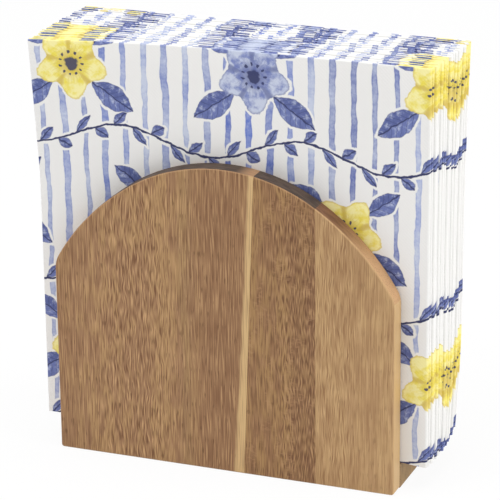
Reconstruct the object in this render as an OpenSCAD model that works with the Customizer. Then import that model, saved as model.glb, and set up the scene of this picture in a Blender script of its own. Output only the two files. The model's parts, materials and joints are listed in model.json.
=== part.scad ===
// Upright wooden napkin holder with a stack of folded paper napkins.
// Two arched panels, each glued up from three staves, stand on either side of a base board
// and are joined to it by hidden dowels. The napkins stand in the slot between the panels.
// Frame: +X right, +Y to the back, +Z up, origin in the middle of the holder's underside.
// All sizes are in millimetres.

/* [Holder] */
// Width of both panels and of the base board
holder_w = 145; // [130:1:158]
// Height of both panels at the crown of the arch
panel_h = 128.5; // [110:0.5:150]
// Thickness of both panels
panel_t = 8.5; // [7:0.5:12]
// Clear depth of the slot between the panels
slot_depth = 46; // [36:1:60]
// Thickness of the base board
base_t = 10.2; // [9:0.1:16]

/* [Arch] */
// Radius of the arch at its crown
crown_r = 73; // [68:1:76]
// Angle either side of the middle that the crown radius covers, in degrees
crown_angle = 32.5; // [25:0.5:40]
// Radius of the arch on its flanks, down to the shoulders
flank_r = 99; // [90:1:110]
// Radius that rounds the bottom corners of both panels
corner_r = 1.2; // [0.5:0.1:3]

/* [Front panel staves] */
// Place of the left glue line at the foot, right of the middle
front_glue_left_foot = 8.9; // [5:0.1:12]
// Place of the left glue line at the height of the crown, right of the middle
front_glue_left_crown = 14.2; // [8:0.1:20]
// Place of the right glue line, right of the middle
front_glue_right = 39.7; // [30:0.1:42]

/* [Back panel staves] */
// Place of the left glue line, left of the middle
back_glue_left = 24; // [8:1:40]
// Place of the right glue line, right of the middle
back_glue_right = 21; // [8:1:40]

/* [Dowels] */
// Number of dowels along each panel
dowel_count = 3; // [2:1:3]
// Distance between neighbouring dowels
dowel_spacing = 50; // [46:1:56]
// Diameter of a dowel
dowel_d = 6; // [4:0.5:7]
// Length of a dowel
dowel_len = 20; // [16:0.5:21]
// Depth of a dowel's hole in a panel
dowel_panel_depth = 5.5; // [4:0.5:6]
// Room for glue all round a dowel
dowel_fit = 0.05; // [0.02:0.01:0.1]
// Room for glue past each end of a dowel
dowel_end_gap = 0.5; // [0.2:0.1:1]

/* [Napkins] */
// Number of folded napkins in the slot
napkin_count = 24; // [16:1:30]
// Width of a folded napkin
napkin_w = 165; // [150:1:180]
// Height of a folded napkin
napkin_h = 164; // [150:1:180]
// Share of its full thickness that a napkin has at its cut edges, which point down
cut_edge_share = 0.78; // [0.5:0.01:0.9]
// Height over which a napkin swells to its full thickness
swell_h = 65; // [40:1:100]
// How far a napkin strays sideways from the middle of the stack
side_stray = 0.4; // [0:0.1:2]
// How much shorter than the tallest a napkin may be
top_stray = 0.6; // [0:0.1:3]
// Air between neighbouring napkins
napkin_air = 0.1; // [0.05:0.01:0.3]
// Room between the stack and each panel, and under the stack
stack_gap = 0.3; // [0.2:0.05:1]

/* [Hidden] */
$fn = 96;
front_y = -slot_depth / 2 - panel_t;
back_y = slot_depth / 2;
// The crown arc and the two flank arcs meet smoothly at crown_angle
crown_z = panel_h - crown_r;
flank_x = (flank_r - crown_r) * sin(crown_angle);
flank_z = crown_z - (flank_r - crown_r) * cos(crown_angle);
arcs_meet_z = crown_z + crown_r * cos(crown_angle);
dowel_z = base_t / 2;
dowel_base_depth = dowel_len + 2 * dowel_end_gap - dowel_panel_depth;
dowel_r = dowel_d / 2;
stack_y = -slot_depth / 2 + stack_gap;
stack_z = base_t + stack_gap;
napkin_pitch = (slot_depth - 2 * stack_gap) / napkin_count;
swell_steps = 6;
// Angles that scatter the napkins' places without a pattern that repeats
side_turn = 137;
top_turn = 83;

function napkin_name(number) = str("napkin_", number < 10 ? "0" : "", number);

// Thickness share of a napkin at a height above its cut edges
function swell(height) =
    1 - (1 - cut_edge_share) * pow(1 - min(1, height / swell_h), 3);

function napkin_side(number) = side_stray * sin((number - 1) * side_turn);

function napkin_top(number) =
    napkin_h - top_stray * (1 - cos((number - 1) * top_turn)) / 2;

// ---- Panels ----

module slab_outline() {
    wide = holder_w - 2 * corner_r;
    union() {
        translate([-holder_w / 2, corner_r]) square([holder_w, panel_h]);
        translate([-wide / 2, 0]) square([wide, panel_h]);
        for (side = [-1, 1])
            translate([side * wide / 2, corner_r]) circle(corner_r);
    }
}

module arch_outline() {
    translate([0, crown_z]) circle(crown_r);
    intersection() {
        translate([-flank_x, flank_z]) circle(flank_r);
        translate([flank_x, flank_z]) circle(flank_r);
        translate([-holder_w, arcs_meet_z - 2 * panel_h]) square([2 * holder_w, 2 * panel_h]);
    }
}

// The strip of a panel between two glue lines, each given by its place at foot and crown
module stave_strip(left_foot, left_crown, right_foot, right_crown) {
    polygon([[left_foot, 0], [right_foot, 0], [right_crown, panel_h], [left_crown, panel_h]]);
}

// Stands an outline drawn in width and height upright, with its front face at y
module stand_up(y) {
    translate([0, y + panel_t, 0]) rotate([90, 0, 0]) linear_extrude(panel_t) children();
}

module stave(y, left_foot, left_crown, right_foot, right_crown) {
    difference() {
        stand_up(y) intersection() {
            slab_outline();
            arch_outline();
            stave_strip(left_foot, left_crown, right_foot, right_crown);
        }
        front_dowel_holes();
        back_dowel_holes();
    }
}

module front_stave_left() {
    color("#9f7d5b") stave(front_y, -holder_w / 2, -holder_w / 2,
                           front_glue_left_foot, front_glue_left_crown);
}

module front_stave_middle() {
    color("#8a6a49") stave(front_y, front_glue_left_foot, front_glue_left_crown,
                           front_glue_right, front_glue_right);
}

module front_stave_right() {
    color("#b08f69") stave(front_y, front_glue_right, front_glue_right,
                           holder_w / 2, holder_w / 2);
}

module back_stave_left() {
    color("#a98561") stave(back_y, -holder_w / 2, -holder_w / 2,
                           -back_glue_left, -back_glue_left);
}

module back_stave_middle() {
    color("#967450") stave(back_y, -back_glue_left, -back_glue_left,
                           back_glue_right, back_glue_right);
}

module back_stave_right() {
    color("#9f7d5b") stave(back_y, back_glue_right, back_glue_right,
                           holder_w / 2, holder_w / 2);
}

// ---- Base board and dowels ----

module base_board() {
    color("#8f6f50") difference() {
        translate([-holder_w / 2, -slot_depth / 2, 0]) cube([holder_w, slot_depth, base_t]);
        front_dowel_holes();
        back_dowel_holes();
    }
}

// Rods along Y from y_start, one at each dowel's place
module dowel_row(radius, y_start, length) {
    for (place = [0:dowel_count - 1])
        translate([(place - (dowel_count - 1) / 2) * dowel_spacing, y_start, dowel_z])
            rotate([-90, 0, 0]) cylinder(r = radius, h = length);
}

module front_dowel_holes() {
    dowel_row(dowel_r + dowel_fit, -slot_depth / 2 - dowel_panel_depth,
              dowel_panel_depth + dowel_base_depth);
}

module back_dowel_holes() {
    dowel_row(dowel_r + dowel_fit, slot_depth / 2 - dowel_base_depth,
              dowel_panel_depth + dowel_base_depth);
}

module front_dowels() {
    color("#d8b98a")
        dowel_row(dowel_r, -slot_depth / 2 - dowel_panel_depth + dowel_end_gap, dowel_len);
}

module back_dowels() {
    color("#d8b98a")
        dowel_row(dowel_r, slot_depth / 2 - dowel_base_depth + dowel_end_gap, dowel_len);
}

// ---- Napkins, counted from the front ----

// Side view of a napkin: each lies against the one before it, and the stack is
// thinner at the bottom, where the cut edges lie flat
module napkin_side_view(number) {
    heights = concat([for (step = [0:swell_steps]) swell_h * step / swell_steps],
                     [napkin_top(number)]);
    last = len(heights) - 1;
    front = (number - 1) * napkin_pitch;
    back = number * napkin_pitch - napkin_air;
    polygon(concat(
        [for (i = [0:last]) [front * swell(heights[i]), heights[i]]],
        [for (i = [last:-1:0]) [back * swell(heights[i]), heights[i]]]));
}

module napkin(number) {
    color(number % 2 == 1 ? "#f2f1ef" : "#dfe3f0")
        translate([napkin_side(number) - napkin_w / 2, stack_y, stack_z])
            rotate([90, 0, 90]) linear_extrude(napkin_w) napkin_side_view(number);
}

front_stave_left();
front_stave_middle();
front_stave_right();
back_stave_left();
back_stave_middle();
back_stave_right();
base_board();
front_dowels();
back_dowels();
for (number = [1:napkin_count])
    napkin(number);
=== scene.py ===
"""Looks of an upright wooden napkin holder with a stack of folded paper napkins.

Lengths are in metres in the CAD frame: +X right, +Y to the back, +Z up.
Patterns are worked out in millimetres.
"""
import json
import math

import bmesh
import bpy
import numpy as np
from mathutils import Matrix, Vector


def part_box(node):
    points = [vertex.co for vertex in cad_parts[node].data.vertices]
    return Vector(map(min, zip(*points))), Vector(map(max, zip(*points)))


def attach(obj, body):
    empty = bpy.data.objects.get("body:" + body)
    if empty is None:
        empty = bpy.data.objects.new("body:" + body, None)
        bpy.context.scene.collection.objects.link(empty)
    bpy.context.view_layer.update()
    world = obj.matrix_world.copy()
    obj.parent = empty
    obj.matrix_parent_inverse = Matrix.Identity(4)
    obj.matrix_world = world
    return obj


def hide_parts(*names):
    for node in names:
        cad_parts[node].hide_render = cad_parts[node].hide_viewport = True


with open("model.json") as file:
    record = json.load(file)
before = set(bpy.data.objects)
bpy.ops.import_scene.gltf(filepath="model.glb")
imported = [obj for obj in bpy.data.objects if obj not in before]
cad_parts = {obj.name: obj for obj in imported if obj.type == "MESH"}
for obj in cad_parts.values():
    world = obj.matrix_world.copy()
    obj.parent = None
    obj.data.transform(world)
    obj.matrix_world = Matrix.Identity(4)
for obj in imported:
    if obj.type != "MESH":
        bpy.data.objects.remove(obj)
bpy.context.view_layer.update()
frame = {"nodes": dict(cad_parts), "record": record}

MM = 0.001
NAPKIN_NODES = sorted(frame["record"]["behaviour"]["bodies"]["napkins"])

# Places that the shapes and the patterns follow, read from the CAD nodes
HALF_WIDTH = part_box("base_board")[1][0]
BOARD_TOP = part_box("base_board")[1][2]
PANEL_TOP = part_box("front_stave_left")[1][2]
GLUE_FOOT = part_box("front_stave_middle")[0][0]
GLUE_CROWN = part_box("front_stave_left")[1][0]


# ---- Node trees written as expressions ----

class Value:
    """A number that varies over a surface."""

    def __init__(self, finish, socket):
        self.finish = finish
        self.socket = socket

    def __add__(self, other):
        return self.finish.math("ADD", self, other)

    def __radd__(self, other):
        return self.finish.math("ADD", other, self)

    def __sub__(self, other):
        return self.finish.math("SUBTRACT", self, other)

    def __rsub__(self, other):
        return self.finish.math("SUBTRACT", other, self)

    def __mul__(self, other):
        return self.finish.math("MULTIPLY", self, other)

    def __rmul__(self, other):
        return self.finish.math("MULTIPLY", other, self)

    def __truediv__(self, other):
        return self.finish.math("DIVIDE", self, other)

    def __abs__(self):
        return self.finish.math("ABSOLUTE", self)


class Finish:
    """One material: its node tree and the calls that add to it."""

    def __init__(self, name, **constants):
        self.material = bpy.data.materials.new(name)
        self.material.use_nodes = True
        self.tree = self.material.node_tree
        self.surface = self.tree.nodes["Principled BSDF"]
        for socket, value in constants.items():
            self.surface.inputs[socket.replace("_", " ")].default_value = value

    def node(self, kind, settings=None, sockets=None):
        """Adds a node, gives it its settings, then the values and links of its sockets."""
        made = self.tree.nodes.new(kind)
        for setting, value in (settings or {}).items():
            setattr(made, setting, value)
        for socket, value in (sockets or {}).items():
            self.feed(made.inputs[socket], value)
        return made

    def feed(self, socket, value):
        """Links the socket, or sets its constant. A colour of three numbers is opaque."""
        if isinstance(value, Value):
            self.tree.links.new(value.socket, socket)
        elif isinstance(value, bpy.types.NodeSocket):
            self.tree.links.new(value, socket)
        elif isinstance(value, tuple) and len(value) < len(socket.default_value):
            socket.default_value = (*value, 1)
        else:
            socket.default_value = value

    def math(self, operation, *values):
        made = self.node("ShaderNodeMath", {"operation": operation}, dict(enumerate(values)))
        return Value(self, made.outputs[0])

    def highest(self, first, *others):
        for other in others:
            first = self.math("MAXIMUM", first, other)
        return first

    def step(self, value, low, high):
        """0 at low, 1 at high and smooth between them, whichever of them is larger."""
        made = self.node("ShaderNodeMapRange", {"interpolation_type": "SMOOTHSTEP"},
                         {"Value": value, "From Min": low, "From Max": high})
        return Value(self, made.outputs[0])

    def mix(self, share, first, second):
        """A colour between two colours."""
        made = self.node("ShaderNodeMix", {"data_type": "RGBA"}, {0: share, 6: first, 7: second})
        return made.outputs[2]

    def vector(self, x, y, z=0.0):
        return self.node("ShaderNodeCombineXYZ", sockets={0: x, 1: y, 2: z}).outputs[0]

    def parts(self, vector):
        made = self.node("ShaderNodeSeparateXYZ", sockets={0: vector})
        return [Value(self, output) for output in made.outputs]

    def noise(self, vector, detail=2.0, roughness=0.5):
        """Soft noise about 0.5, whose waves are about two units long.

        A step over 0.5 picks out its crests, and one under 0.5 its troughs."""
        made = self.node("ShaderNodeTexNoise", {"noise_dimensions": "3D"},
                         {"Vector": vector, "Scale": 1.0, "Detail": detail, "Roughness": roughness})
        return Value(self, made.outputs[0])

    def streaks(self, across, along, size, seed, detail=2.0, roughness=0.5):
        """Noise stretched to a width and a length."""
        width, length = size
        return self.noise(self.vector(across / width, along / length, seed), detail, roughness)

    def chance(self, value):
        """A number from 0 to 1 that changes with each whole value."""
        made = self.node("ShaderNodeTexWhiteNoise", {"noise_dimensions": "1D"}, {"W": value})
        return Value(self, made.outputs[0])

    def place(self):
        """The point's X, Y and Z in millimetres."""
        where = self.node("ShaderNodeTexCoord").outputs["Object"]
        scaled = self.node("ShaderNodeVectorMath", {"operation": "SCALE"},
                           {0: where, "Scale": 1 / MM})
        return self.parts(scaled.outputs[0])

    def place_on_sheet(self):
        """The point's place on the flat sheet of its napkin, across and up, in millimetres,
        which the attribute "cut" holds."""
        cut = self.node("ShaderNodeAttribute", {"attribute_name": "cut"})
        return self.parts(cut.outputs["Vector"])[:2]

    def facing(self):
        """The X, Y and Z of the surface's direction."""
        return self.parts(self.node("ShaderNodeNewGeometry").outputs["Normal"])

    def bump(self, height, distance, strength):
        made = self.node("ShaderNodeBump", sockets={
            "Height": height, "Distance": distance, "Strength": strength})
        self.feed(self.surface.inputs["Normal"], made.outputs[0])


def srgb(red, green, blue):
    """A colour as a screen shows it, 0 to 255, as the linear one that nodes take."""
    return tuple(c / 12.92 if c <= 0.04045 else ((c + 0.055) / 1.055) ** 2.4
                 for c in (red / 255, green / 255, blue / 255))


# ---- Wood: its finishes ----

PORE = srgb(98, 66, 40)
SAPWOOD = srgb(212, 178, 127)
RED_SAPWOOD = srgb(206, 160, 116)
# Arris colours: partly the tone of sanded wood, partly a painted highlight along the rounded edges
SANDED_AND_HIGHLIT_ARRIS = srgb(206, 170, 124)
WARM_ARRIS = srgb(168, 131, 93)

# Light, dark, the dark and the light fibres
BROWN = (srgb(176, 139, 95), srgb(158, 120, 86), srgb(120, 82, 54), srgb(198, 158, 114))
DARK = (srgb(166, 129, 84), srgb(146, 108, 74), srgb(112, 76, 50), srgb(180, 141, 100))
TAN = (srgb(192, 156, 110), srgb(174, 137, 96), srgb(150, 112, 74), srgb(202, 166, 121))
BOARD = (srgb(178, 146, 106), srgb(158, 124, 90), srgb(128, 94, 66), srgb(194, 160, 120))
BEECH = (srgb(216, 186, 142), srgb(206, 172, 130), srgb(180, 140, 100), srgb(226, 200, 160))

# The axes across, through and along the grain, by the axis that it runs along
GRAIN_AXES = {"z": (0, 1, 2), "x": (2, 1, 0), "y": (0, 2, 1)}

# Width and length of each part of the grain, in millimetres
DRIFT_SIZE = (15, 60)     # slow wander of the whole grain
WAVE_SIZE = (3.5, 9)      # waves of the wavy part
TONE_SIZE = (8, 120)      # light and dark bands
PATCH_SIZE = (3.5, 13)    # light and dark patches
THREAD_SIZE = (0.3, 8)    # finest dark fibres
PORE_SIZE = (0.5, 5)
CROSS_SIZE = (2.4, 1.2)   # light marks across the grain
MOTTLE_SIZE = (7, 16)     # patches that have such marks

LONG_FIBRE = 2.2          # length of a long fibre, in short ones
DEPTH_SHARE = 0.8         # how much of the depth counts as width, so that the sides have grain
DRIFT_REACH = 3           # how far the wander moves the fibres sideways, in millimetres
WAVE_REACH = 1.8          # how far the waves move them
BAND_DRIFT = 8            # how far the wander moves a coloured band
PORE_DEPTH = 0.05 * MM

# The pale strip, in millimetres
STRIP_WIDTH = 1.7         # at the crown
STRIP_FOOT = 2.0          # how much wider it is at the foot
STRIP_WANDER = 1.6        # how much its width wanders
STRIP_LENGTH = 15         # height over which it does

# The end grain, in millimetres
SPECK_SIZE = 0.5
RING_SIZE = (5, 1.3, 9)   # width, depth and height of its light and dark patches
SHOULDER_TURN = (44, 67)  # from the middle: where it starts to take the side's colour, and has


def wood(name, tones, seed, along="z", grain=(0.42, 6.0), wavy=(0, 300), bands=(), pored=0.6,
         mottle=0.0, wear_and_highlight=(SANDED_AND_HIGHLIT_ARRIS, 0.3), side=None, pale_strip=False):
    """Oiled hardwood: slow bands of tone, and fibres that are long and straight, or short and
    wavy in the part that is given by its middle and half width.

    The grain is the width and length of a short fibre, pored and mottle are the strengths of
    the pores and of the light marks, side is the colour of the left and right sides, and worn
    the colour of the arrises and its strength: partly the tone that sanding leaves and partly a
    painted highlight where the arrises turn to the lamps. Each band is the place of its
    middle, its half
    width, its colour and its strength."""
    light, dark, dark_fibre, light_fibre = tones
    f = Finish(name, Roughness=0.5, Specular_IOR_Level=0.3)
    place = f.place()
    x, y, z = (place[axis] for axis in GRAIN_AXES[along])
    width = x + y * DEPTH_SHARE
    figure = f.step(abs(x - wavy[0]), wavy[1], wavy[1] * 0.4)
    drift = f.streaks(width, z, DRIFT_SIZE, seed) - 0.5
    waves = f.streaks(width, z, WAVE_SIZE, seed, 1) - 0.5
    across = width + drift * DRIFT_REACH + waves * figure * WAVE_REACH
    tone = f.streaks(across, z, TONE_SIZE, seed, 3, 0.6)
    patch = f.streaks(across, z, PATCH_SIZE, seed + 1, 2)
    long_fibre = f.streaks(across, z, (grain[0], grain[1] * LONG_FIBRE), seed + 2, 0)
    short_fibre = f.streaks(across, z, grain, seed + 3, 0)
    fibre = long_fibre + (short_fibre - long_fibre) * (figure * 0.6 + 0.15)
    thread = f.streaks(across, z, THREAD_SIZE, seed + 4, 0)
    pore = f.streaks(across, z, PORE_SIZE, seed + 5, 0)
    colour = f.mix(f.step(tone * 0.5 + patch * 0.5, 0.42, 0.58), light, dark)
    for middle, half, tint, strength in bands:
        band = f.step(abs(x + drift * BAND_DRIFT - middle), half, half * 0.3)
        colour = f.mix(band * strength, colour, tint)
    pores = f.step(pore, 0.66, 0.78)
    contrast = figure * 0.35 + 0.62
    colour = f.mix(f.step(fibre, 0.52, 0.30) * contrast, colour, dark_fibre)
    colour = f.mix(f.step(fibre, 0.50, 0.72) * contrast, colour, light_fibre)
    colour = f.mix(f.step(thread, 0.42, 0.26) * 0.5, colour, dark_fibre)
    colour = f.mix(pores * pored, colour, PORE)
    if mottle:
        cross = f.streaks(width, z, CROSS_SIZE, seed + 6, 2)
        patches = f.streaks(width, z, MOTTLE_SIZE, seed + 7, 1)
        colour = f.mix(f.step(cross, 0.5, 0.62) * f.step(patches, 0.48, 0.62) * mottle,
                       colour, light_fibre)
    if pale_strip:
        streaks = f.step(fibre, 0.55, 0.3) * 0.4
        colour = f.mix(sapwood_strip(f, x, z, 1.5) * (0.98 - streaks), colour, SAPWOOD)
    if side:
        colour = f.mix(f.step(abs(f.facing()[0]), 0.6, 0.95) * 0.75, colour, side)
    # Painted highlight on the arrises, mixed with the tone that sanding leaves
    colour = f.mix(arris(f) * wear_and_highlight[1], colour, wear_and_highlight[0])
    f.feed(f.surface.inputs["Base Color"], colour)
    f.feed(f.surface.inputs["Roughness"], 0.44 + fibre * 0.16)
    f.bump(fibre + thread * 0.5 - pores, PORE_DEPTH, 0.5)
    return f.material


def arris(f):
    """Where the surface turns from a panel's face, which looks along Y, to its edge, which
    sanding has left another tone and which carries a painted highlight where it turns to the lamps."""
    facing = abs(f.facing()[1])
    return f.step(facing, 0.985, 0.85) * f.step(facing, 0.04, 0.2)


def sapwood_strip(f, x, z, softness):
    """The pale strip along the slanted glue line, with a soft edge that wanders."""
    foot, crown, top = GLUE_FOOT / MM, GLUE_CROWN / MM, PANEL_TOP / MM
    glue = foot + (crown - foot) / top * z
    wander = f.noise(f.vector(0.0, z / STRIP_LENGTH, 3.0)) - 0.5
    low = 1 - z / top
    width = STRIP_WIDTH + low * low * STRIP_FOOT + wander * STRIP_WANDER
    return f.step(glue - x, width + softness, width - 0.6)


def end_grain(name, dark, light, seed, side=None, wear_and_highlight=(SANDED_AND_HIGHLIT_ARRIS, 0.0), pale_strip=False):
    """The sawn ends of the staves along the arch, dark with oil and full of pores.

    Towards the shoulders, where the cut runs along the grain, they turn to the side's colour."""
    f = Finish(name, Roughness=0.62, Specular_IOR_Level=0.25)
    x, y, z = f.place()
    speck = f.noise(f.vector(x / SPECK_SIZE, y / SPECK_SIZE, z / SPECK_SIZE + seed), 2)
    ring = f.noise(f.vector(x / RING_SIZE[0], y / RING_SIZE[1], z / RING_SIZE[2] + seed), 3)
    colour = f.mix(f.step(ring, 0.35, 0.65), dark, light)
    if side:
        colour = f.mix(f.step(abs(x), *SHOULDER_TURN), colour, side)
    colour = f.mix(f.step(speck, 0.52, 0.7) * 0.35, colour, PORE)
    if pale_strip:
        colour = f.mix(sapwood_strip(f, x, z, 7.0) * (0.85 - ring * 0.5), colour, RED_SAPWOOD)
    # Painted highlight on the arrises, mixed with the tone that sanding leaves
    colour = f.mix(arris(f) * wear_and_highlight[1], colour, wear_and_highlight[0])
    f.feed(f.surface.inputs["Base Color"], colour)
    f.bump(speck, PORE_DEPTH, 0.5)
    return f.material


# ---- Wood: its shapes ----

ARRIS = 0.8 * MM          # width of the panels' rounded arrises
BOARD_ARRIS = 0.3 * MM    # width of the board's, which are nearly sharp
ARRIS_STEPS = 3
SHOULDER_EASE = 2.6 * MM  # how far from the shoulder its rounding starts
SHOULDER_STEPS = 6
SAME_POINT = 0.002 * MM   # vertices closer than this become one
FACES_AXIS = 0.9          # least part of the normal along an axis, for a face square to it
# Faces that turn by less become one, or are shaded as one, and edges that turn more are arrises
FLAT_ANGLE = math.radians(1)
SMOOTH_ANGLE = math.radians(25)
SHARP_ANGLE = math.radians(30)


def make_active(piece):
    bpy.ops.object.select_all(action="DESELECT")
    piece.select_set(True)
    bpy.context.view_layer.objects.active = piece


def apply_modifier(piece, kind, **settings):
    made = piece.modifiers.new(kind.title(), kind)
    for setting, value in settings.items():
        setattr(made, setting, value)
    make_active(piece)
    bpy.ops.object.modifier_apply(modifier=made.name)


def copy_of_node(node):
    """A copy of a CAD node's mesh as one closed skin, ready to be shaped."""
    piece = bpy.data.objects.new(node + "_piece", frame["nodes"][node].data.copy())
    bpy.context.collection.objects.link(piece)
    piece.data.materials.clear()
    make_active(piece)
    bpy.ops.object.mode_set(mode="EDIT")
    bpy.ops.mesh.select_all(action="SELECT")
    bpy.ops.mesh.remove_doubles(threshold=SAME_POINT)
    bpy.ops.mesh.dissolve_limited(angle_limit=FLAT_ANGLE)
    bpy.ops.object.mode_set(mode="OBJECT")
    bpy.ops.object.shade_smooth_by_angle(angle=SMOOTH_ANGLE)
    return piece


def in_dowel_hole(point):
    """Whether the middle of an edge lies within the board's height and well inside its ends,
    as only those of the dowel holes do."""
    clear_of_faces, clear_of_end = 1 * MM, 10 * MM
    return (clear_of_faces < point.z < BOARD_TOP - clear_of_faces
            and abs(point.x) < HALF_WIDTH - clear_of_end)


def round_shoulder(piece):
    """Eases the corner where the arch meets the side, which has been sanded round."""
    make_active(piece)
    shoulders = [edge.index for edge in piece.data.edges if is_shoulder(piece.data, edge)]
    bpy.ops.object.mode_set(mode="EDIT")
    bpy.ops.mesh.select_mode(type="EDGE")
    bpy.ops.mesh.select_all(action="DESELECT")
    bpy.ops.object.mode_set(mode="OBJECT")
    for index in shoulders:
        piece.data.edges[index].select = True
    bpy.ops.object.mode_set(mode="EDIT")
    bpy.ops.mesh.bevel(offset=SHOULDER_EASE, segments=SHOULDER_STEPS, affect="EDGES")
    bpy.ops.object.mode_set(mode="OBJECT")


def is_shoulder(mesh, edge):
    """An edge through the panel's thickness, at the top of its side."""
    on_side, least_thickness = 0.01 * MM, 5 * MM
    first, second = (mesh.vertices[index].co for index in edge.vertices)
    at_side = min(abs(first.x), abs(second.x)) > HALF_WIDTH - on_side
    through = abs(first.y - second.y) > least_thickness
    return at_side and through and first.z > PANEL_TOP / 3


def round_arrises(piece, width, is_glued):
    """Rounds the free arrises, and leaves the glued faces and the dowel holes sharp."""
    mesh = bmesh.new()
    mesh.from_mesh(piece.data)
    weight = mesh.edges.layers.float.new("bevel_weight_edge")
    for edge in mesh.edges:
        middle = (edge.verts[0].co + edge.verts[1].co) / 2
        sharp = len(edge.link_faces) == 2 and edge.calc_face_angle() > SHARP_ANGLE
        glued = any(is_glued(face) for face in edge.link_faces)
        if sharp and not glued and not in_dowel_hole(middle):
            edge[weight] = 1.0
    mesh.to_mesh(piece.data)
    mesh.free()
    apply_modifier(piece, "BEVEL", width=width, segments=ARRIS_STEPS, limit_method="WEIGHT",
                   use_clamp_overlap=False, harden_normals=True)


def is_stave_joint(face):
    """A face square to X that is well inside the panel's sides."""
    inside = 5 * MM
    return (abs(face.normal.x) > FACES_AXIS
            and abs(face.calc_center_median().x) < HALF_WIDTH - inside)


def is_board_side(face):
    return abs(face.normal.y) > FACES_AXIS


def finish_piece(piece, node, faces, ends, is_end):
    """Gives a wooden piece its two finishes and puts it in the place of its node."""
    piece.data.materials.append(faces)
    piece.data.materials.append(ends)
    for face in piece.data.polygons:
        face.material_index = 1 if is_end(face) else 0
    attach(piece, "holder")
    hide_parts(node)


def is_stave_end(face):
    """The arch and the foot, where the grain comes out, and not the upright sides."""
    return abs(face.normal.y) < 0.6 and (face.normal.z > 0.2 or face.normal.z < -0.8)


def is_board_end(face):
    return abs(face.normal.x) > 0.8


def make_holder():
    red, green, umber = srgb(148, 110, 77), srgb(142, 116, 78), srgb(122, 85, 60)
    tan_side, brown_side = srgb(206, 172, 122), srgb(172, 137, 98)
    dark_end = (srgb(68, 57, 50), srgb(92, 77, 66))
    red_end = (srgb(104, 71, 52), srgb(130, 92, 68))
    # Arris colours and strengths: sanded tone and painted highlight
    tan_arris, brown_arris = (SANDED_AND_HIGHLIT_ARRIS, 0.35), (WARM_ARRIS, 0.6)
    tan_shoulder, brown_shoulder = srgb(198, 157, 114), srgb(156, 120, 84)
    staves = {
        "front_stave_left": (
            wood("front_brown", BROWN, 1, wavy=(-38, 22), wear_and_highlight=brown_arris, side=brown_side,
                 bands=[(-72, 12, red, 0.5), (-15, 4, green, 0.3), (0, 17, red, 0.95)],
                 pale_strip=True),
            end_grain("front_brown_end", *dark_end, 1, side=brown_shoulder, pale_strip=True)),
        "front_stave_middle": (
            wood("front_dark", DARK, 2, grain=(0.45, 4.2), wavy=(34, 16), mottle=0.35,
                 wear_and_highlight=brown_arris, bands=[(35, 9, umber, 0.4)]),
            end_grain("front_dark_end", *dark_end, 2)),
        "front_stave_right": (
            wood("front_tan", TAN, 3, grain=(0.34, 9.0), wavy=(48, 12), pored=0.3, wear_and_highlight=tan_arris,
                 side=tan_side),
            end_grain("front_tan_end", *red_end, 3, side=tan_shoulder, wear_and_highlight=tan_arris)),
        "back_stave_left": (
            wood("back_tan", TAN, 4, grain=(0.34, 9.0), wavy=(-50, 24), pored=0.3, wear_and_highlight=tan_arris,
                 side=tan_side),
            end_grain("back_tan_end", *red_end, 4, side=tan_shoulder, wear_and_highlight=tan_arris)),
        "back_stave_middle": (
            wood("back_dark", DARK, 5, grain=(0.45, 4.2), wavy=(-4, 18), mottle=0.3,
                 wear_and_highlight=brown_arris, bands=[(-18, 9, umber, 0.3)]),
            end_grain("back_dark_end", *dark_end, 5)),
        "back_stave_right": (
            wood("back_brown", BROWN, 6, wavy=(48, 22), wear_and_highlight=brown_arris, side=brown_side,
                 bands=[(24, 10, red, 0.6)]),
            end_grain("back_brown_end", *dark_end, 6, side=brown_shoulder)),
    }
    for node, (faces, ends) in staves.items():
        piece = copy_of_node(node)
        if not node.endswith("middle"):
            round_shoulder(piece)
        round_arrises(piece, ARRIS, is_stave_joint)
        finish_piece(piece, node, faces, ends, is_stave_end)
    board = copy_of_node("base_board")
    round_arrises(board, BOARD_ARRIS, is_board_side)
    finish_piece(board, "base_board", wood("board", BOARD, 7, along="x"),
                 end_grain("board_end", srgb(150, 122, 86), srgb(168, 138, 98), 7), is_board_end)
    beech = wood("dowel_beech", BEECH, 8, along="y")
    for node in ("front_dowels", "back_dowels"):
        for slot in frame["nodes"][node].material_slots:
            slot.material = beech


# ---- Printed paper ----

PAPER = srgb(239, 238, 236)
PAPER_CLOUD = srgb(226, 226, 229)
LEMON_WASH = srgb(250, 241, 172)
YELLOW = srgb(240, 224, 96)
OCHRE = srgb(206, 176, 72)
PALE_BLUE = srgb(202, 209, 228)
BLUE = srgb(124, 136, 190)
CLEAR_BLUE = srgb(102, 125, 204)
GREY_BLUE = srgb(108, 119, 176)
DEEP_BLUE = srgb(92, 102, 154)
NAVY = srgb(62, 66, 102)

# The print, in millimetres on the flat sheet, with S across it and T up
BLOSSOM_PITCH = 76.0     # from one blossom to the next in a row
ROW_PITCH = 60.0         # from one row of blossoms to the next
BLOSSOM_REACH = 13.0     # middle radius of a blossom
PETALS = 5
PETAL_PHASE = 1.2        # where the first petal starts, in radians of one petal's turn
PETAL_DEPTH = 2.4        # how far the petals reach past the middle radius
PETAL_VEINS = 7          # veins of each petal
STAMENS = 11
STRIPE_PITCH = 8.7
STRIPE_WOBBLE = 3.4      # how far a stripe wanders sideways
GARLAND_SWING = 5.0      # how far a garland swings up and down
SPRIG_PITCH = 8.0        # from one small leaf of a garland to the next
VEIN_PITCH = 2.6         # from one vein of a leaf to the next
HALO = 1.1               # width of the bare paper left round each motif
BRUSH_SIZE = 4           # size of the brush's stray strokes
BRUSH_STRAY = 2.2        # how far they stray
# Each leaf beside a blossom: its foot, its heading in degrees, its length and half width
BLOSSOM_LEAVES = [((8.0, -7.5), -34, 21, 5.2), ((8.5, 8.0), 36, 17, 4.2)]
SPRIG_LEAF = ((-3.6, 0.2), 42, 8.2, 2.1)

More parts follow.
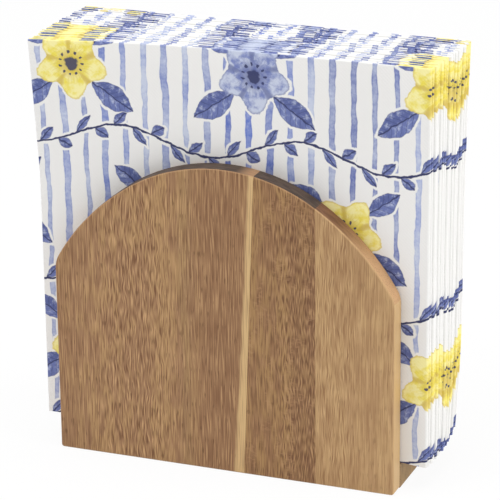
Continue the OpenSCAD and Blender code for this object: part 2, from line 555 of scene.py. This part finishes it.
# The tissue
EMBOSS_TURN = 4.2        # pattern of the pressed dots, in radians for each millimetre
EMBOSS_DEPTH = 0.12 * MM
CRINKLE_SIZE = 1.1
CLOUD_SIZE = 3


def wash(f, s, t, size, seed):
    """The uneven strength of thinned paint, about 0.5."""
    return f.noise(f.vector(s / size, t / size, seed), 4, 0.62)


def stripes(f, s, t):
    """Brushed upright stripes of uneven width and strength: their mask and colour.

    Half widths are shares of the pitch."""
    wobble = f.noise(f.vector(s / 12, t / 17), 3) - 0.5
    place = (s + wobble * STRIPE_WOBBLE) / STRIPE_PITCH + 0.5
    number = f.math("FLOOR", place)
    from_middle = abs(place - number - 0.5)
    swell = f.noise(f.vector(number * 3.7, t / 6), 3) - 0.5
    half = 0.105 + f.chance(number) * 0.06 + swell * 0.11
    mask = f.step(from_middle, half + 0.03, half - 0.02)
    rim = f.step(half - from_middle, 0.06, 0.0)
    strength = (f.chance(number + 9.5) * 0.6 + f.noise(f.vector(number, t / 15), 2) * 2.0 - 0.9
                + (wash(f, s, t, 1.8, 4.0) - 0.5) * 1.1 + rim * 0.3)
    full = f.mix(f.chance(number + 4.5), CLEAR_BLUE, GREY_BLUE)
    return mask, f.mix(strength, PALE_BLUE, full)


def petals(f, tint, shade, heart, pale, full, crease):
    """Petals brushed from pale to full paint, with their creases and a dark heart."""
    colour = f.mix(f.step(tint, 0.36, 0.64), full, pale)
    return f.mix(heart, f.mix(shade, colour, crease), NAVY)


def blossom(f, s, t, is_yellow):
    """A five-petalled blossom round the middle: its mask, colour and distance from its rim."""
    radius = f.math("SQRT", s * s + t * t)
    angle = f.math("ARCTAN2", t, s)
    ragged = wash(f, s, t, 3.0, 8.0) - 0.5
    lobes = f.math("COSINE", angle * PETALS + PETAL_PHASE)
    outside = radius - (BLOSSOM_REACH + lobes * PETAL_DEPTH + ragged * 2.4)
    tint = wash(f, s, t, 4.5, 2.0) + f.step(radius, 4.0, 12.0) * 0.12 - 0.04
    crease = f.step(lobes, -0.6, -1.0) * f.step(radius, 1.0, 7.0)
    veins = (f.step(f.math("COSINE", angle * (PETALS * PETAL_VEINS)), 0.5, 1.0)
             * f.step(radius, 10.0, 5.5))
    shade = f.highest(crease * 0.8, f.step(radius, 8.0, 3.0) * 0.7, veins * 0.5,
                      f.step(outside, -1.2, 0.0) * 0.6) * (0.45 + tint * 0.8)
    dots = f.math("COSINE", angle * STAMENS) * f.step(abs(radius - 4.7 - ragged * 2), 0.9, 0.3)
    heart = f.highest(f.step(radius + ragged * 3, 3.2, 2.4), f.step(dots, 0.3, 0.6)) * 0.92
    colour = f.mix(is_yellow, petals(f, tint, shade, heart, PALE_BLUE, BLUE, DEEP_BLUE),
                   petals(f, tint, shade, heart, LEMON_WASH, YELLOW, OCHRE))
    return f.step(outside, 0.25, -0.25), colour, outside


def leaf(f, s, t, length, half_width):
    """A pointed leaf from the middle along +S: its mask, colour and depth inside its rim."""
    along = f.math("MINIMUM", f.math("MAXIMUM", s / length, 0.0), 1.0)
    beyond = s - along * length
    across = f.math("SQRT", t * t + beyond * beyond)
    inside = f.math("SINE", along * math.pi) * half_width - across
    veins = f.math("SINE", (s - abs(t) * 0.8) * (2 * math.pi / VEIN_PITCH))
    line = f.highest(f.step(abs(t), 0.4, 0.15), f.step(veins, 0.8, 0.98) * 0.45,
                     f.step(inside, 0.45, 0.0) * 0.7)
    paint = wash(f, s, t, 3.0, 5.0)
    colour = f.mix(f.step(t, -0.4, 0.4) * 0.4 + paint * 1.8 - 0.55, BLUE, DEEP_BLUE)
    colour = f.mix(f.step(paint, 0.5, 0.3) * 0.7, colour, PALE_BLUE)
    return f.step(inside, -0.15, 0.3), f.mix(line * 0.9, colour, NAVY), inside


def turned(s, t, foot, degrees):
    """Places seen from a foot, with +S along a heading."""
    cosine, sine = math.cos(math.radians(degrees)), math.sin(math.radians(degrees))
    from_s, from_t = s - foot[0], t - foot[1]
    return from_s * cosine + from_t * sine, from_t * cosine - from_s * sine


def garland(f, s, t):
    """A vine that waves along a row, with small leaves up and down by turns: its mask, colour
    and depth inside its rim."""
    foot, heading, length, half_width = SPRIG_LEAF
    vine = t - f.math("SINE", s * (2 * math.pi / BLOSSOM_PITCH)) * GARLAND_SWING
    place = s / SPRIG_PITCH
    number = f.math("FLOOR", place)
    turn = f.math("FLOORED_MODULO", number, 2.0) * 2 - 1
    sprig = turned((place - number - 0.5) * SPRIG_PITCH, vine * turn, foot, heading)
    mask, colour, inside = leaf(f, *sprig, length, half_width)
    stem = f.step(abs(vine), 0.6, 0.3)
    return f.highest(mask, stem), f.mix(stem, colour, NAVY), f.highest(inside, 0.5 - abs(vine))


def brush_stray(f, s, t, seed):
    """How far the brush strays from a drawn outline."""
    return (f.noise(f.vector(s / BRUSH_SIZE, t / BRUSH_SIZE, seed), 3) - 0.5) * BRUSH_STRAY


def napkin_print(name):
    """Paper printed with brushed stripes, rows of blossoms and leafy garlands."""
    f = Finish(name, Roughness=0.92, Specular_IOR_Level=0.12)
    flat_s, flat_t = f.place_on_sheet()
    s = flat_s + brush_stray(f, flat_s, flat_t, 1.0)
    t = flat_t + brush_stray(f, flat_s, flat_t, 2.0)
    row = f.math("FLOOR", t / ROW_PITCH + 0.5)
    shift = f.math("FLOORED_MODULO", row, 2.0) * 0.5
    column = f.math("FLOOR", s / BLOSSOM_PITCH + 0.5 + shift)
    flower_s = s - (column - shift) * BLOSSOM_PITCH
    flower_t = t - row * ROW_PITCH
    garland_t = t - (f.math("FLOOR", t / ROW_PITCH) + 0.5) * ROW_PITCH

    is_yellow = 1 - f.math("FLOORED_MODULO", column, 2.0)
    flower, flower_colour, outside = blossom(f, flower_s, flower_t, is_yellow)
    motifs = [garland(f, s, garland_t)]
    motifs += [leaf(f, *turned(abs(flower_s), flower_t, foot, heading), length, half)
               for foot, heading, length, half in BLOSSOM_LEAVES]
    motifs += [(flower, flower_colour, 0 - outside)]
    bare = f.highest(*(f.step(inside, -HALO - 0.3, -HALO + 0.3) for _, _, inside in motifs))
    stripe, stripe_colour = stripes(f, flat_s, flat_t)
    colour = f.mix(stripe * (1 - bare), PAPER, stripe_colour)
    for mask, motif_colour, _ in motifs:
        colour = f.mix(mask, colour, motif_colour)
    f.feed(f.surface.inputs["Base Color"], colour)
    emboss(f, flat_s, flat_t)
    return f.material


def emboss(f, s, t):
    """Fine dots pressed into the tissue, which is a little crinkled."""
    dots = f.math("SINE", s * EMBOSS_TURN) * f.math("SINE", t * EMBOSS_TURN)
    crinkle = f.noise(f.vector(s / CRINKLE_SIZE, t / CRINKLE_SIZE), 3)
    f.bump(dots * 0.4 + crinkle, EMBOSS_DEPTH, 0.45)


def plain_paper(name):
    """The unprinted side of the tissue, with the fibres' faint clouds."""
    f = Finish(name, Roughness=0.95, Specular_IOR_Level=0.1)
    s, t = f.place_on_sheet()
    cloud = f.noise(f.vector(s / CLOUD_SIZE, t / CLOUD_SIZE), 3)
    f.feed(f.surface.inputs["Base Color"], f.mix(cloud * 0.6, PAPER, PAPER_CLOUD))
    emboss(f, s, t)
    return f.material


# ---- Napkins ----

LEAVES = 4               # layers of a napkin
SHEET_SHARE = 0.9        # thickness of the sheet, in the room that each leaf has
FOLD_ROWS = 8            # rows of faces round a fold
LEAF_ROWS = 14           # rows of faces along a leaf
# How far each fold stands out, in half thicknesses of a leaf, and the length of sheet from its
# middle to where it ends flat, in half circles with half a leaf's thickness as their radius
SPINE_REACH, SPINE_BEND = 1.3, 1.3
TOP_REACH, TOP_BEND = 1.5, 0.5
OUTER_SPINE = 3          # how far the outer leaves' spine stands out, in the inner leaves'
RIPPLE = 0.1 * MM        # how far each sheet ripples to the front and back
RIPPLE_SIZE = (23 * MM, 31 * MM)
RIPPLE_SEED = 100        # added to a napkin's number, apart from the seed of its print's shift
SAME_HEIGHT = 0.02 * MM  # CAD vertices whose heights differ by less are on one level
PAPER_SMOOTH = math.radians(50)

# Middle of the blossom nearest to the fold's corner, in millimetres
BLOSSOM_FROM_SPINE = 4   # to the right of the spine's middle
BLOSSOM_BELOW_TOP = 9    # below the top fold's middle
# How far the print is shifted right and down: some napkins' numbers, and their shifts
SHIFT_RIGHT = ([1, 7, 14, 24], [0, 2.0, -1.5, 1.0])
SHIFT_DOWN = ([1, 9, 13, 17, 24], [0, 0.6, 5.2, 7.4, 2.2])
SHIFT_JITTER = 0.45

# How the loose stack stands, in millimetres, apart from the share
CURL_WIDTH = 90          # from the stack's left edge to where the curl ends
CURL_FROM = 0.62         # share of the stack's height where the curl starts
CURL_FORWARD = 7.2
CURL_DOWN = 1.4
LEAN_FRONT = 0.7         # how far the front stands to the right
LEAN_BACK = 1.1          # how far the back does at its feet
LEAN_TOP = 2.2           # how much further at its top
FEET_OUT = 1.2           # how far the middle's feet stand out to the right
FRONT_LIFT = 0.7         # how far the front's feet are lifted
FRONT_SAG = 1.2          # how much lower they hang past the end of the board
SAG_REACH = (0.5, 6)     # from the board's end to where they start to hang and hang fully
BACK_LIFT = 13.0         # lift of the right foot corners at full depth, which no foot reaches
LIFT_REACH = (-25, 8)    # from the board's end to where the lift starts and is full


def side_profile(node):
    """Heights of a napkin's CAD solid, with its front and back at each."""
    points = np.array([v.co[:] for v in frame["nodes"][node].data.vertices])
    heights = np.unique(points[:, 2].round(5))
    levels = [points[abs(points[:, 2] - height) < SAME_HEIGHT, 1] for height in heights]
    return heights, np.array([y.min() for y in levels]), np.array([y.max() for y in levels])


def fold_lines(reach, fold):
    """Places across a sheet folded at 0: rows round the fold and along both leaves."""
    bend = np.linspace(-fold, fold, FOLD_ROWS + 1)
    leaf_rows = np.linspace(fold, reach, LEAF_ROWS + 1)[1:]
    return np.concatenate([-leaf_rows[::-1], bend, leaf_rows])


def over_fold(place, fold):
    """Sine and cosine of the turn round a fold, which ends flat on both leaves."""
    turn = np.clip(place / fold, -1, 1) * math.pi / 2
    return np.sin(turn), np.cos(turn)


def smooth(low, high, value):
    """0 up to low, 1 from high and smooth between them."""
    share = np.clip((value - low) / (high - low), 0, 1)
    return share * share * (3 - 2 * share)


def past_end(reach, x):
    """0 up to the start of a reach past the board's right end, and 1 from its own end."""
    return smooth(HALF_WIDTH + reach[0] * MM, HALF_WIDTH + reach[1] * MM, x)


def print_shift(number):
    """How far the print of a napkin is shifted, right and down, in millimetres."""
    jitter = np.random.default_rng(number).uniform(-SHIFT_JITTER, SHIFT_JITTER, 2)
    return (np.interp(number, *SHIFT_RIGHT) + jitter[0],
            np.interp(number, *SHIFT_DOWN) + jitter[1])


def settle(points):
    """How the loose stack stands: the front napkin's top left corner curls forward over the
    panel, the back leans to the right, the middle's feet stand out to the right, and the right
    corners of the back's feet are lifted off the board.

    The powers say how fast each of these fades away from there."""
    low = Vector(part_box(NAPKIN_NODES[0])[0])
    high = Vector(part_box(NAPKIN_NODES[-1])[1])
    x, y, z = points.T
    back = np.clip((y - low.y) / (high.y - low.y), 0, 1)
    front = 1 - back
    up = np.clip((z - low.z) / (high.z - low.z), 0, 1)
    near_left = np.clip(1 - (x - low.x) / (CURL_WIDTH * MM), 0, 1) ** 2
    curl = near_left * np.clip((up - CURL_FROM) / (1 - CURL_FROM), 0, 1) ** 1.1 * front ** 1.5
    feet = (1 - up) ** 6
    past_board = past_end(SAG_REACH, x)
    near_right = past_end(LIFT_REACH, x)
    points[:, 0] += (LEAN_FRONT * front + (LEAN_BACK + LEAN_TOP * up ** 3) * back
                     + FEET_OUT * np.sin(math.pi * back) * feet) * MM
    points[:, 1] -= CURL_FORWARD * curl * MM
    points[:, 2] += (feet * front ** 8 * (FRONT_LIFT - FRONT_SAG * past_board)
                     + BACK_LIFT * feet * near_right * back ** 3.5
                     - CURL_DOWN * curl * front ** 2) * MM


def place_on_fold(u, v, corner, spine_fold, top_fold):
    """X, Z and depth share of each point of a sheet folded upright at u = 0 and level at v = 0.

    The corner is the napkin's top right one, and each fold is the length of the sheet from its
    middle to where it ends flat, and how far it stands out. The outer leaves, at v < 0, lie an
    eighth of the depth from its faces, and the inner ones an eighth from its middle."""
    spine, spine_r = spine_fold
    top, top_r = top_fold
    side, side_c = over_fold(u, spine)
    lid, lid_c = over_fold(v, top)
    x = (corner.x - OUTER_SPINE * spine_r + spine_r * (2 - lid) * side_c
         - np.maximum(abs(u) - spine, 0))
    z = corner.z - top_r * (1 - lid_c) - np.maximum(abs(v) - top, 0)
    return x, z, 0.5 + side * (0.25 - 0.125 * lid)


def flat_sheet(name, across, down):
    """A grid with a vertex at each pair of places across and down a sheet, and those places."""
    bpy.ops.object.select_all(action="DESELECT")
    bpy.ops.mesh.primitive_grid_add(x_subdivisions=len(across) - 1, y_subdivisions=len(down) - 1,
                                    size=1, calc_uvs=True)
    piece = bpy.context.object
    piece.name = name
    flat = np.array([v.co[:] for v in piece.data.vertices]) + 0.5
    u = across[(flat[:, 0] * (len(across) - 1)).round().astype(int)]
    v = down[(flat[:, 1] * (len(down) - 1)).round().astype(int)]
    return piece, u, v


def lay_print(piece, u, v, number):
    """Writes each point's place on the print, which "cut" hands to the finishes."""
    right, lower = print_shift(number)
    cut = np.stack([u / MM - right - BLOSSOM_FROM_SPINE, v / MM + lower + BLOSSOM_BELOW_TOP,
                    np.zeros_like(u)], axis=1)
    places = piece.data.attributes.new("cut", "FLOAT_VECTOR", "POINT")
    places.data.foreach_set("vector", cut.ravel())


def make_napkin(node, number, printed, plain):
    """A nearly square sheet folded in four: its spine is on the right, two folds are on top,
    and the cut edges are on the left and at the bottom."""
    low, high = (Vector(corner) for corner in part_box(node))
    heights, front, back = side_profile(node)
    thick = (back - front).max()
    leaf_half = thick / (2 * LEAVES)
    spine, spine_r = leaf_half * math.pi * SPINE_BEND, leaf_half * SPINE_REACH
    top, top_r = leaf_half * math.pi * TOP_BEND, leaf_half * TOP_REACH
    across = fold_lines(high.x - low.x - OUTER_SPINE * spine_r + spine, spine)
    down = fold_lines(high.z - low.z - top_r + top, top)
    piece, u, v = flat_sheet(node + "_piece", across, down)
    x, z, depth = place_on_fold(u, v, high, (spine, spine_r), (top, top_r))
    room_front = np.interp(z, heights, front)
    room = np.interp(z, heights, back) - room_front
    waves = np.random.default_rng(RIPPLE_SEED + number).uniform(0, 2 * math.pi, 2)
    y = room_front + depth * room
    y += RIPPLE * np.sin(x / RIPPLE_SIZE[0] + waves[0]) * np.sin(z / RIPPLE_SIZE[1] + waves[1])
    points = np.stack([x, y, z], axis=1)
    settle(points)
    piece.data.vertices.foreach_set("co", points.ravel())
    lay_print(piece, u, v, number)
    group = piece.vertex_groups.new(name="thickness")
    for index, share in enumerate(room / thick):
        group.add([index], share, "REPLACE")
    piece.data.materials.append(printed)
    piece.data.materials.append(plain)
    apply_modifier(piece, "SOLIDIFY", thickness=thick / LEAVES * SHEET_SHARE, offset=0,
                   vertex_group="thickness", material_offset=1, material_offset_rim=1)
    bpy.ops.object.shade_smooth_by_angle(angle=PAPER_SMOOTH)
    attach(piece, "napkins")
    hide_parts(node)


def make_napkins():
    printed = napkin_print("printed_paper")
    plain = plain_paper("plain_paper")
    for number, node in enumerate(NAPKIN_NODES, 1):
        make_napkin(node, number, printed, plain)


# ---- Camera, floor and lights ----

# The camera, fitted to the outlines of the front panel and the stack in the photograph
CAMERA_AZIMUTH = math.radians(21.455)
CAMERA_ELEVATION = math.radians(19.67)
CAMERA_ROLL = math.radians(-0.645)
CAMERA_PLACE = Vector((0.39467, -1.00392, 0.47014))
CAMERA_LENS = 203.34

WHITE = (1.0, 1.0, 1.0)
FLOOR_SIZE = 8
FLOOR_GREY = 0.92
FLOOR_GLOW = 0.92        # share of plain white in the floor that the camera sees
SKY_LIGHT = 0.35         # strength of the sky's light on the object
LAMP_TARGET = Vector((0, 0, 0.08))
# Each lamp: its name, place, size and power in watts
LAMPS = [("lamp_left", (-1.5, -1.1, 1.5), 1.6, 20.5),
         ("lamp_top", (0.1, -0.1, 2.3), 1.8, 28),
         ("lamp_right", (2.1, 0.0, 1.0), 1.6, 26)]


def make_camera():
    back = Vector((math.sin(CAMERA_AZIMUTH) * math.cos(CAMERA_ELEVATION),
                   -math.cos(CAMERA_AZIMUTH) * math.cos(CAMERA_ELEVATION),
                   math.sin(CAMERA_ELEVATION)))
    bpy.ops.object.camera_add(location=CAMERA_PLACE)
    camera = bpy.context.object
    level = back.to_track_quat("Z", "Y").to_matrix()
    camera.rotation_euler = (level @ Matrix.Rotation(CAMERA_ROLL, 3, "Z")).to_euler()
    camera.data.lens = CAMERA_LENS
    bpy.context.scene.camera = camera


def add_lamp(name, place, size, power):
    """A soft square lamp that faces the middle of the holder."""
    bpy.ops.object.light_add(type="AREA", location=place)
    lamp = bpy.context.object
    lamp.name = name
    lamp.data.size = size
    lamp.data.energy = power
    lamp.rotation_euler = (LAMP_TARGET - Vector(place)).to_track_quat("-Z", "Y").to_euler()


def seen_directly(f):
    """1 for what the camera, a gloss or glass sees, and 0 for light on the object."""
    path = f.node("ShaderNodeLightPath")
    return f.highest(*(Value(f, path.outputs[kind]) for kind in
                       ("Is Camera Ray", "Is Glossy Ray", "Is Transmission Ray")))


def make_floor():
    """A pale floor that looks nearly white and keeps a soft shadow."""
    bpy.ops.mesh.primitive_plane_add(size=FLOOR_SIZE, location=(0, 0, 0))
    floor = bpy.context.object
    floor.name = "floor"
    f = Finish("floor_white", Base_Color=(FLOOR_GREY, FLOOR_GREY, FLOOR_GREY, 1), Roughness=0.9)
    glow = f.node("ShaderNodeEmission", sockets={"Color": WHITE, "Strength": 1.0})
    blend = f.node("ShaderNodeMixShader", sockets={
        0: seen_directly(f) * FLOOR_GLOW, 1: f.surface.outputs[0], 2: glow.outputs[0]})
    f.feed(f.tree.nodes["Material Output"].inputs["Surface"], blend.outputs[0])
    floor.data.materials.append(f.material)


class Sky(Finish):
    """The world: white where it is seen, softer as light on the object."""

    def __init__(self, light):
        world = bpy.data.worlds.new("studio")
        world.use_nodes = True
        bpy.context.scene.world = world
        self.tree = world.node_tree
        soft = self.tree.nodes["Background"]
        self.feed(soft.inputs["Color"], WHITE)
        self.feed(soft.inputs["Strength"], light)
        white = self.node("ShaderNodeBackground", sockets={"Color": WHITE, "Strength": 1.0})
        blend = self.node("ShaderNodeMixShader", sockets={
            0: seen_directly(self), 1: soft.outputs[0], 2: white.outputs[0]})
        self.feed(self.tree.nodes["World Output"].inputs["Surface"], blend.outputs[0])


def make_lights():
    for lamp in LAMPS:
        add_lamp(*lamp)
    Sky(SKY_LIGHT)


bpy.context.scene.view_settings.view_transform = "Standard"
make_camera()
make_holder()
make_napkins()
make_floor()
make_lights()
